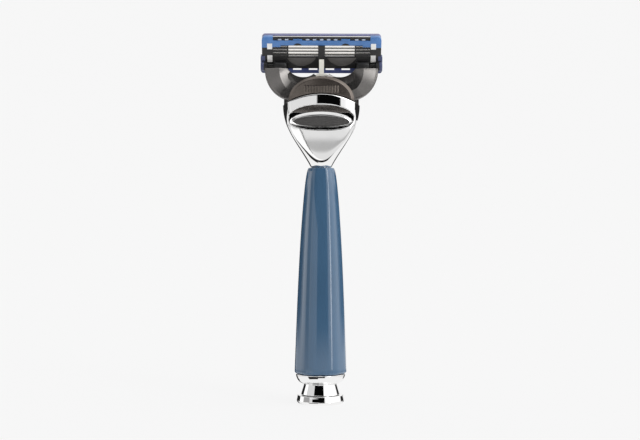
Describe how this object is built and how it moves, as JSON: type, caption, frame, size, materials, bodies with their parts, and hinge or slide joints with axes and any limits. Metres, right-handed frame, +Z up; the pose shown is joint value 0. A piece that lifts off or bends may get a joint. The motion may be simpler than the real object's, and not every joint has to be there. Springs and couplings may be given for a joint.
{
  "type": "cartridge razor",
  "caption": "Cartridge razor with a faceted resin grip on a turned metal foot, a docking collar with a slide button and a pivoting multi-blade cartridge with a trimmer.",
  "frame": {"origin": "centre of the foot's flat, on the surface the razor stands on", "axes": "+Z up the handle, X across the blades, +Y towards the shaving side, -Y towards the release button"},
  "size_m": [0.0412, 0.0168, 0.1245],
  "materials": {
    "chrome": "polished",
    "steel": "satin",
    "grip_resin": "polished",
    "seal_rubber": "matte",
    "pad_rubber": "matte",
    "dark_plastic": "satin",
    "yoke_plastic": "metallic satin",
    "gunmetal": "metallic satin",
    "white_plastic": "satin",
    "blue_plastic": "satin",
    "fin_rubber": "matte",
    "strip_plastic": "matte",
    "clip_metal": "satin"
  },
  "bodies": {
    "handle": {"foot_base": "chrome", "foot_waist": "chrome", "foot_cup": "chrome", "foot_seal": "seal_rubber", "grip": "grip_resin", "tie_rod": "steel", "collar": "chrome", "docking_core": "dark_plastic", "core_screws": "steel", "travel_shield": "gunmetal"},
    "button": {"release_button": "chrome", "button_pad": "pad_rubber", "ejector_frame": "dark_plastic", "button_spring": "steel"},
    "head": {"yoke": "yoke_plastic", "hub_cover": "gunmetal", "pivot_pins": "steel"},
    "plunger": {"plunger": "white_plastic", "plunger_spring": "steel"},
    "cartridge": {"blade_housing": "dark_plastic", "guard_frame": "blue_plastic", "guard_fins": "fin_rubber", "lube_strip": "strip_plastic", "blade_1": "steel", "blade_2": "steel", "blade_3": "steel", "blade_4": "steel", "blade_5": "steel", "blade_support_1": "steel", "blade_support_2": "steel", "blade_support_3": "steel", "blade_support_4": "steel", "blade_support_5": "steel", "trimmer_housing": "blue_plastic", "trimmer_blade": "steel", "clip_left": "clip_metal", "clip_right": "clip_metal"}
  },
  "joints": [
    {"name": "button_slide", "type": "slide", "parent": "handle", "child": "button", "axis": [0, 0, 1], "range_m": [0, 0.0022], "stiffness_N_per_m": 400, "springref_m": -0.001, "deforming": ["button_spring"]},
    {"name": "head_release", "type": "slide", "parent": "handle", "child": "head", "axis": [0, 0, 1], "range_m": [0, 0.008]},
    {"name": "cartridge_pivot", "type": "hinge", "parent": "head", "child": "cartridge", "pos_m": [0, 0.0025, 0.1134], "axis": [1, 0, 0], "range_deg": [0, 40], "stiffness_Nm_per_rad": 0.002, "springref_deg": -20.05},
    {"name": "plunger_slide", "type": "slide", "parent": "head", "child": "plunger", "axis": [0, 0, 1], "range_m": [-0.0018, 0], "deforming": ["plunger_spring"]}
  ],
  "couplings": [
    {"joint": "plunger_slide", "follows": "cartridge_pivot", "m_per_rad": -0.00236}
  ]
}
